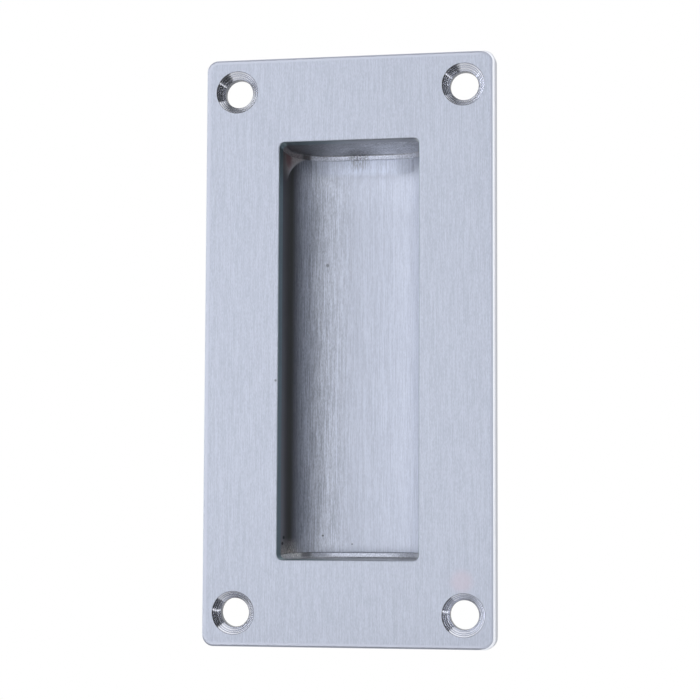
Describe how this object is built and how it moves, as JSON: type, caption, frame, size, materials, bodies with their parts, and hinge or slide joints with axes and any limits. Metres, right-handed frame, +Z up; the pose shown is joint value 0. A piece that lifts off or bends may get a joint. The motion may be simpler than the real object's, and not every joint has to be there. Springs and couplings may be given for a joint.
{
  "type": "recessed pull handle",
  "caption": "Rectangular flush pull: a flat plate with countersunk screw holes and a long rounded finger recess welded behind it.",
  "frame": {"origin": "centre of the screw pattern on the plate's back face, which is the face that meets the door", "axes": "+X across the plate, +Z up along its length, -Y out of the front face towards the hand, +Y into the door"},
  "size_m": [0.051, 0.015, 0.102],
  "materials": {
    "plate": "satin stainless, brushed along the plate's length",
    "trough": "satin stainless, brushed along the trough",
    "end_caps": "pressed stainless, dull and unbrushed, tinted by the weld"
  },
  "bodies": {
    "root": {"face_plate": "plate", "recess_trough": "trough", "upper_end_cap": "end_caps", "lower_end_cap": "end_caps"}
  },
  "joints": []
}
